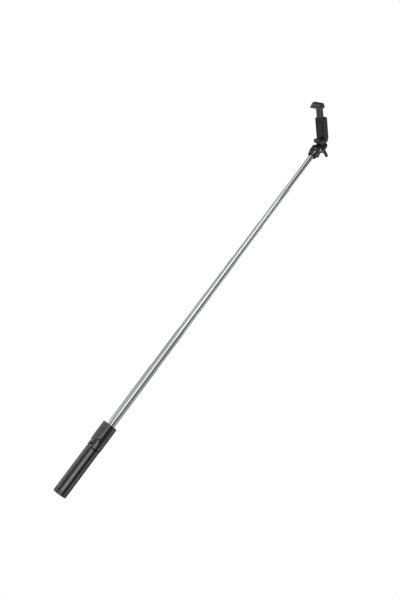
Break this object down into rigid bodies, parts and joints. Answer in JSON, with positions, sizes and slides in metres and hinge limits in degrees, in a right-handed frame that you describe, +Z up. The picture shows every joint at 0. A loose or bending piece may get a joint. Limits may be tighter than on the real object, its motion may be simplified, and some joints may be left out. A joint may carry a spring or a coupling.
{
  "type": "selfie stick",
  "caption": "Telescoping steel selfie stick: round black handle that opens into a tripod, detachable remote, tilting swivel head with a sprung phone clamp.",
  "frame": {"origin": "centre of the closed feet's bottom, on the pole's axis", "axes": "+Z up the pole, -Y the front with the remote and the phone's screen, X along the tilt hinge"},
  "size_m": [0.0294, 0.1189, 0.9391],
  "materials": {
    "satin_black": "satin moulded, fine texture",
    "remote_black": "matte moulded, fine texture",
    "head_grey": "satin moulded",
    "rubber_black": "matt",
    "polished_steel": "polished, drawn lengthwise",
    "plain_steel": "plain",
    "brass": "machined",
    "board": "solder mask"
  },
  "bodies": {
    "handle": {"handle_hub": "satin_black", "hub_cap": "satin_black", "brake_bush": "remote_black", "leg_1_pin": "plain_steel", "leg_2_pin": "plain_steel", "leg_3_pin": "plain_steel"},
    "leg_1": {"leg_1": "satin_black", "leg_1_knuckle": "polished_steel", "leg_1_foot": "rubber_black"},
    "leg_2": {"leg_2": "satin_black", "leg_2_knuckle": "polished_steel", "leg_2_foot": "rubber_black"},
    "leg_3": {"leg_3": "satin_black", "leg_3_knuckle": "polished_steel", "leg_3_foot": "rubber_black"},
    "remote": {"remote_back_shell": "remote_black", "remote_front_shell": "remote_black", "remote_board": "board", "coin_cell": "plain_steel", "switch_dome": "polished_steel"},
    "button": {"shutter_button": "head_grey"},
    "tube_1": {"tube_1": "polished_steel"},
    "tube_2": {"tube_2": "polished_steel"},
    "tube_3": {"tube_3": "polished_steel"},
    "tube_4": {"tube_4": "polished_steel"},
    "tube_5": {"tube_5": "polished_steel"},
    "tube_6": {"tube_6": "polished_steel"},
    "tube_7": {"tube_7": "polished_steel", "neck_collar": "satin_black", "swivel_washer": "plain_steel", "swivel_screw": "plain_steel"},
    "head": {"head_fork": "head_grey", "tilt_bolt": "plain_steel", "tilt_nut": "plain_steel"},
    "bracket": {"tilt_bracket": "head_grey"},
    "wing_screw": {"wing_screw": "head_grey"},
    "clamp": {"threaded_insert": "brass", "clamp_body": "head_grey", "clamp_rear_cover": "satin_black", "cover_screw_1": "plain_steel", "cover_screw_2": "plain_steel", "lower_pad": "rubber_black", "back_pad": "rubber_black", "clamp_spring_left": "plain_steel", "clamp_spring_right": "plain_steel", "spring_post": "plain_steel"},
    "jaw": {"upper_jaw": "head_grey", "upper_pad": "rubber_black"}
  },
  "joints": [
    {"name": "leg_1_spread", "type": "hinge", "parent": "handle", "child": "leg_1", "pos_m": [0, -0.011, 0.1067], "axis": [-1, 0, 0], "range_deg": [0, 60]},
    {"name": "leg_2_spread", "type": "hinge", "parent": "handle", "child": "leg_2", "pos_m": [0.00953, 0.0055, 0.1067], "axis": [0.5, -0.866, 0], "range_deg": [0, 60]},
    {"name": "leg_3_spread", "type": "hinge", "parent": "handle", "child": "leg_3", "pos_m": [-0.00953, 0.0055, 0.1067], "axis": [0.5, 0.866, 0], "range_deg": [0, 60]},
    {"name": "remote_release", "type": "slide", "parent": "handle", "child": "remote", "axis": [0, -1, 0], "range_m": [0, 0.02]},
    {"name": "shutter_press", "type": "slide", "parent": "remote", "child": "button", "axis": [0, 1, 0], "range_m": [0, 0.0003], "stiffness_N_per_m": 400},
    {"name": "tube_1_slide", "type": "slide", "parent": "handle", "child": "tube_1", "axis": [0, 0, 1], "range_m": [-0.135, 0]},
    {"name": "tube_2_slide", "type": "slide", "parent": "tube_1", "child": "tube_2", "axis": [0, 0, 1], "range_m": [-0.088, 0]},
    {"name": "tube_3_slide", "type": "slide", "parent": "tube_2", "child": "tube_3", "axis": [0, 0, 1], "range_m": [-0.0897, 0]},
    {"name": "tube_4_slide", "type": "slide", "parent": "tube_3", "child": "tube_4", "axis": [0, 0, 1], "range_m": [-0.0914, 0]},
    {"name": "tube_5_slide", "type": "slide", "parent": "tube_4", "child": "tube_5", "axis": [0, 0, 1], "range_m": [-0.0922, 0]},
    {"name": "tube_6_slide", "type": "slide", "parent": "tube_5", "child": "tube_6", "axis": [0, 0, 1], "range_m": [-0.0961, 0]},
    {"name": "tube_7_slide", "type": "slide", "parent": "tube_6", "child": "tube_7", "axis": [0, 0, 1], "range_m": [-0.091, 0]},
    {"name": "head_swivel", "type": "hinge", "parent": "tube_7", "child": "head", "pos_m": [0, 0, 0.8633], "axis": [0, 0, 1], "continuous": true},
    {"name": "head_tilt", "type": "hinge", "parent": "head", "child": "bracket", "pos_m": [0, 0, 0.88], "axis": [1, 0, 0], "range_deg": [-50, 60]},
    {"name": "wing_screw_turn", "type": "hinge", "parent": "bracket", "child": "wing_screw", "pos_m": [0, 0.01181, 0.89292], "axis": [0, -0.9171, 0.3987], "continuous": true},
    {"name": "clamp_pan", "type": "hinge", "parent": "bracket", "child": "clamp", "pos_m": [0, 0.01181, 0.89292], "axis": [0, -0.9171, 0.3987], "continuous": true},
    {"name": "jaw_slide", "type": "slide", "parent": "clamp", "child": "jaw", "axis": [0, -0.9171, 0.3987], "range_m": [-0.015, 0.014]}
  ]
}
